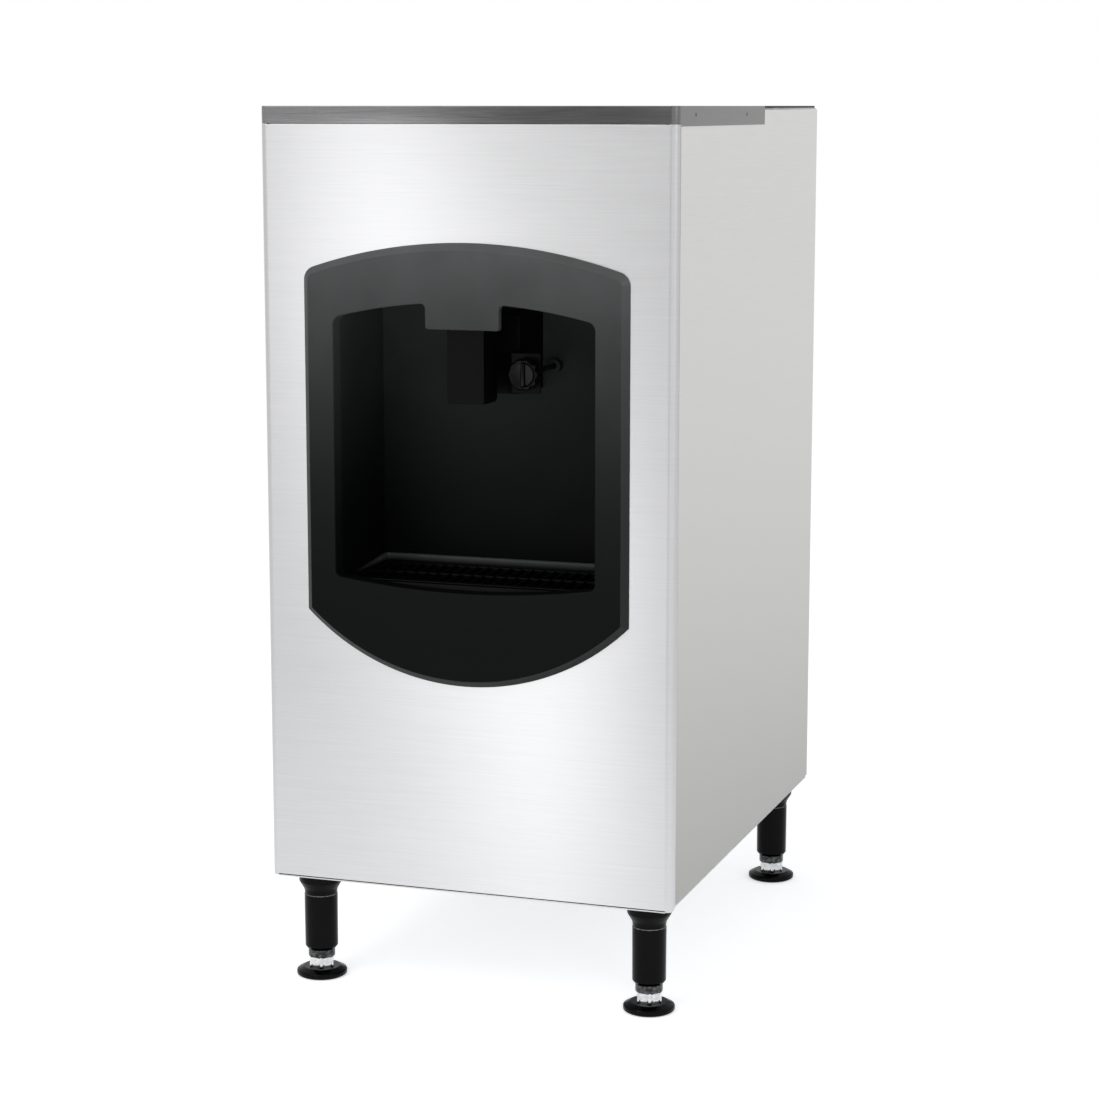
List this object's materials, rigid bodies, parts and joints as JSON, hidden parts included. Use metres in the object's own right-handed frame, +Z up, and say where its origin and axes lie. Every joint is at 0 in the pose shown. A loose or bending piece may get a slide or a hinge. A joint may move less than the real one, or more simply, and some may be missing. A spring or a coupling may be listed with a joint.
{
  "type": "ice dispenser",
  "caption": "Floor-standing stainless ice dispenser on levelling legs: black alcove with a push lever and drip grille, and an open-topped ice bin with a lift wheel and agitator.",
  "frame": {"origin": "on the floor, under the middle of the cabinet", "axes": "+X to the right as a user faces the front, +Y to the back, +Z up"},
  "size_m": [0.56, 0.755, 1.17],
  "materials": {
    "satin_steel": "satin stainless sheet",
    "dark_trim": "darker satin strip",
    "galvanised": "galvanised sheet, dull",
    "black_abs": "moulded ABS, fine grain",
    "black_polyester": "glossy moulded leg",
    "white_liner": "moulded polyethylene",
    "foam": "rigid foam",
    "gasket": "closed-cell seal",
    "polished_steel": "polished",
    "brass": "turned bush",
    "grey_casting": "painted die casting",
    "pale_hose": "translucent hose",
    "white_nylon": "moulded nylon"
  },
  "bodies": {
    "cabinet": {"base_pan": "galvanised", "front_left_post": "galvanised", "front_right_post": "galvanised", "rear_left_post": "galvanised", "rear_right_post": "galvanised", "front_panel": "satin_steel", "left_side_panel": "satin_steel", "right_side_panel": "satin_steel", "rear_panel": "galvanised", "louvred_cover": "galvanised", "connection_plate": "galvanised", "top_deck": "galvanised", "top_gasket": "gasket", "top_trim": "dark_trim", "bezel": "black_abs", "alcove_liner": "black_abs", "drip_sink": "black_abs", "sink_drain": "white_nylon", "sink_drain_hose": "pale_hose", "sink_drain_outlet": "white_nylon", "bin_liner": "white_liner", "bin_insulation": "foam", "bin_drain": "white_nylon", "bin_drain_hose": "pale_hose", "bin_drain_outlet": "white_nylon", "front_bush": "brass", "rear_bush": "brass", "motor_bracket": "galvanised", "gear_housing": "grey_casting", "drive_motor": "grey_casting", "ice_chute": "white_liner", "chute_hood": "black_abs", "lever_pin": "polished_steel", "lever_spring": "polished_steel", "lever_bracket": "galvanised", "microswitch": "black_abs", "control_box": "galvanised", "control_box_cover": "galvanised", "power_inlet": "black_abs", "front_left_leg_sleeve": "black_polyester", "front_right_leg_sleeve": "black_polyester", "rear_left_leg_sleeve": "black_polyester", "rear_right_leg_sleeve": "black_polyester"},
    "lever": {"push_lever": "black_abs"},
    "plunger": {"switch_plunger": "white_nylon"},
    "wheel": {"lift_wheel": "white_nylon", "agitator_shaft": "polished_steel"},
    "grille": {"drip_grille": "black_abs"},
    "knob": {"hood_knob": "black_abs"},
    "front_left_level": {"front_left_leg_stem": "polished_steel", "front_left_foot": "black_polyester"},
    "front_right_level": {"front_right_leg_stem": "polished_steel", "front_right_foot": "black_polyester"},
    "rear_left_level": {"rear_left_leg_stem": "polished_steel", "rear_left_foot": "black_polyester"},
    "rear_right_level": {"rear_right_leg_stem": "polished_steel", "rear_right_foot": "black_polyester"}
  },
  "joints": [
    {"name": "lever_push", "type": "hinge", "parent": "cabinet", "child": "lever", "pos_m": [0, -0.338, 0.955], "axis": [1, 0, 0], "range_deg": [0, 8], "stiffness_Nm_per_rad": 1, "springref_deg": -5.73},
    {"name": "plunger_travel", "type": "slide", "parent": "cabinet", "child": "plunger", "axis": [0, 1, 0], "range_m": [0, 0.0027]},
    {"name": "wheel_turn", "type": "hinge", "parent": "cabinet", "child": "wheel", "pos_m": [0, 0.1345, 0.775], "axis": [0, 1, 0], "continuous": true},
    {"name": "grille_lift", "type": "slide", "parent": "cabinet", "child": "grille", "axis": [0, 0, 1], "range_m": [0, 0.1]},
    {"name": "knob_turn", "type": "hinge", "parent": "cabinet", "child": "knob", "pos_m": [0.067, -0.3181, 0.832], "axis": [0, 1, 0], "range_deg": [0, 90]},
    {"name": "front_left_levelling", "type": "slide", "parent": "cabinet", "child": "front_left_level", "axis": [0, 0, -1], "range_m": [0, 0.025]},
    {"name": "front_right_levelling", "type": "slide", "parent": "cabinet", "child": "front_right_level", "axis": [0, 0, -1], "range_m": [0, 0.025]},
    {"name": "rear_left_levelling", "type": "slide", "parent": "cabinet", "child": "rear_left_level", "axis": [0, 0, -1], "range_m": [0, 0.025]},
    {"name": "rear_right_levelling", "type": "slide", "parent": "cabinet", "child": "rear_right_level", "axis": [0, 0, -1], "range_m": [0, 0.025]}
  ],
  "couplings": [
    {"joint": "plunger_travel", "follows": "lever_push", "m_per_rad": 0.019}
  ]
}
